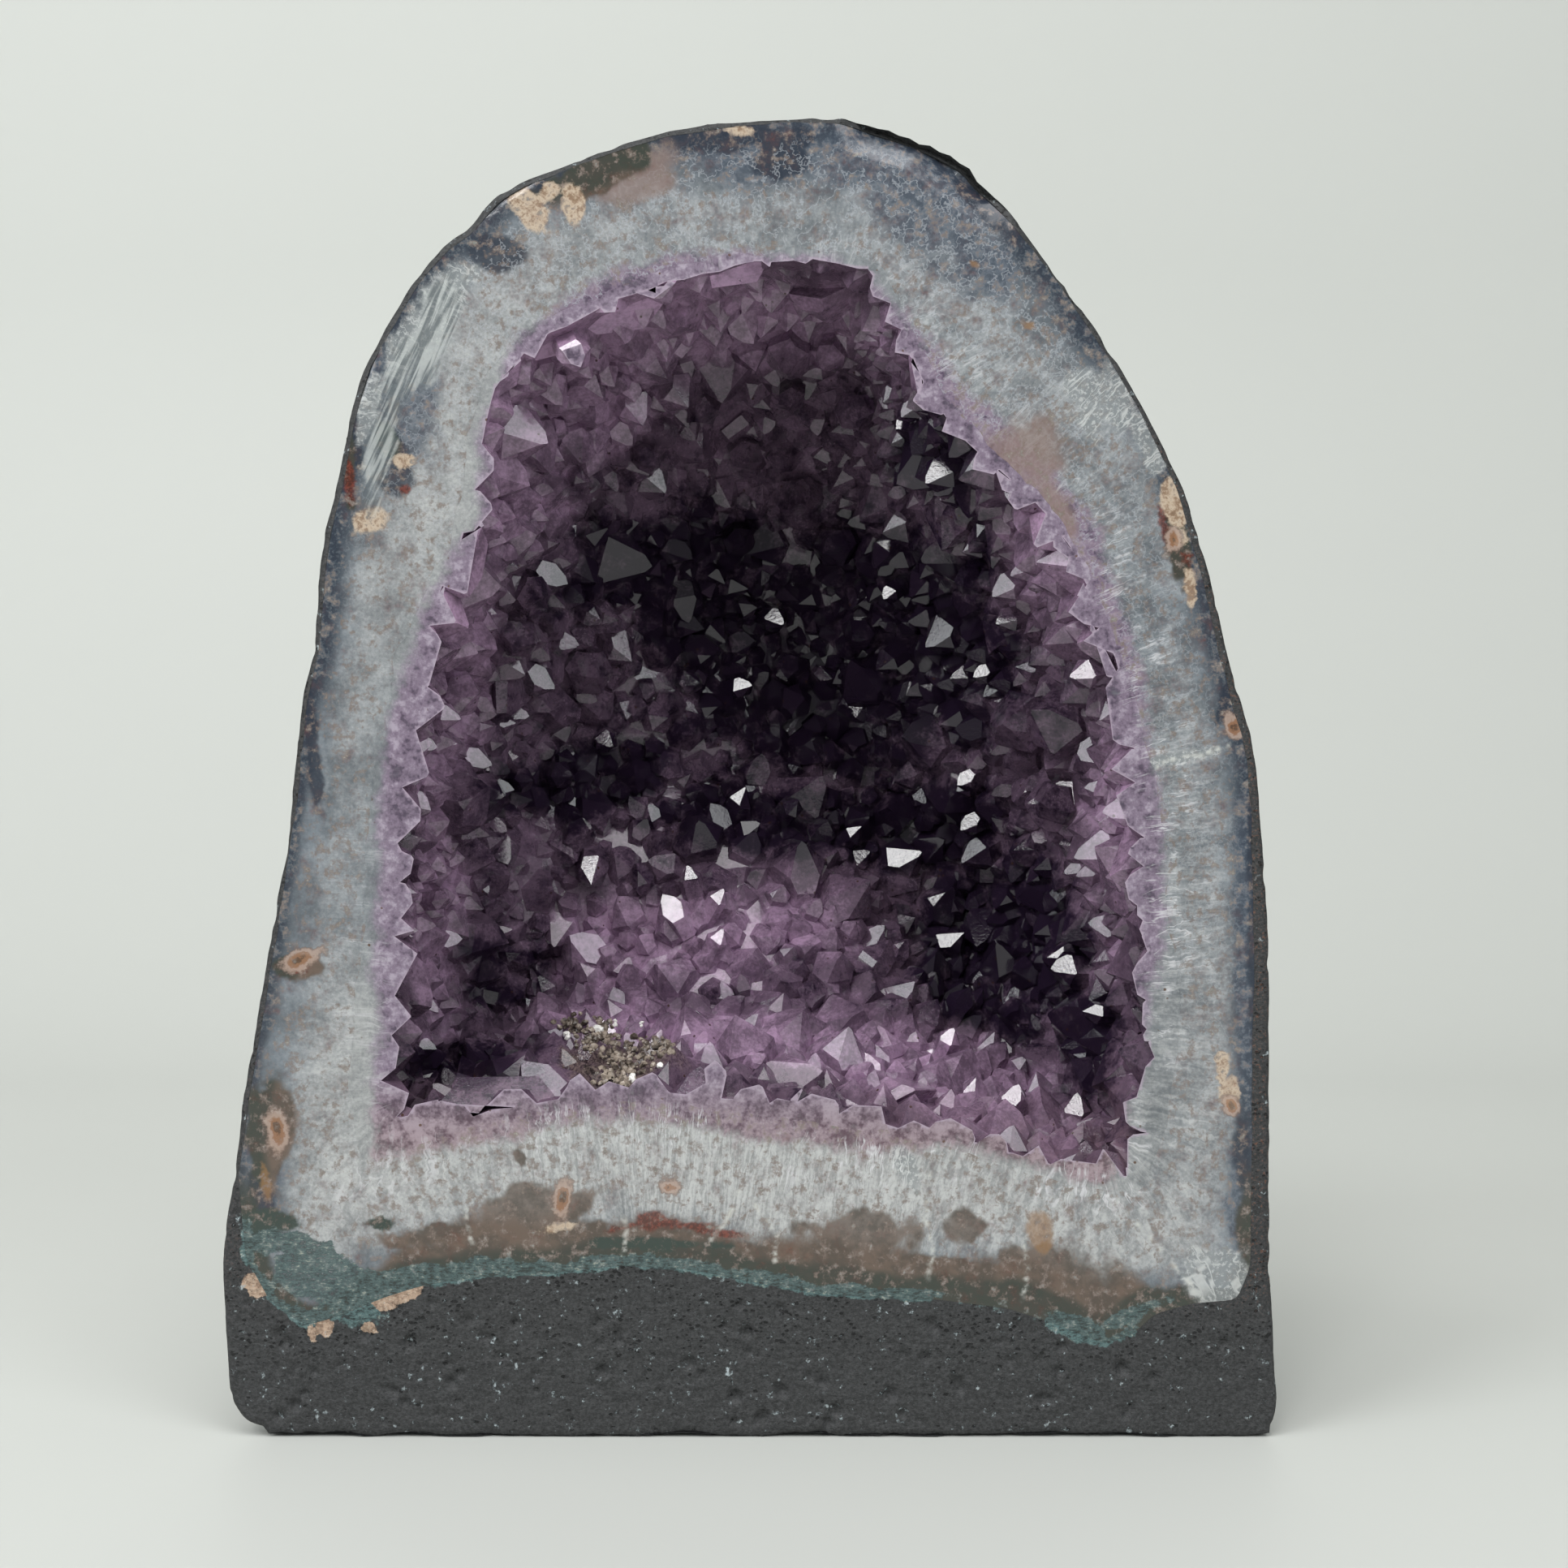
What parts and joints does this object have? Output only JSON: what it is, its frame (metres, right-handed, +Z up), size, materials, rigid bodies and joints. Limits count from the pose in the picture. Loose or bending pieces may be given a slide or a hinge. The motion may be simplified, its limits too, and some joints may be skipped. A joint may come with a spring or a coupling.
{
  "type": "amethyst cathedral geode",
  "caption": "Standing half geode with a sawn base: dark basalt around a polished rim of agate and milky quartz, and an arched hollow lined with amethyst points.",
  "frame": {"origin": "on the surface that the geode stands on, under the middle of its overall box", "axes": "+Z up from the sawn base, -Y out of the polished face towards the viewer, +X to the viewer's right"},
  "size_m": [0.2004, 0.1264, 0.25],
  "materials": {
    "basalt": "rough, pitted, matt, with green and cream mineral specks along the band",
    "agate_quartz": "polished on the face, grey-blue agate outside and milky white quartz inside",
    "amethyst": "clear to cloudy purple crystal with glossy flat faces"
  },
  "bodies": {
    "root": {"basalt_matrix": "basalt", "agate_quartz_band": "agate_quartz", "amethyst_crust": "amethyst"}
  },
  "joints": []
}
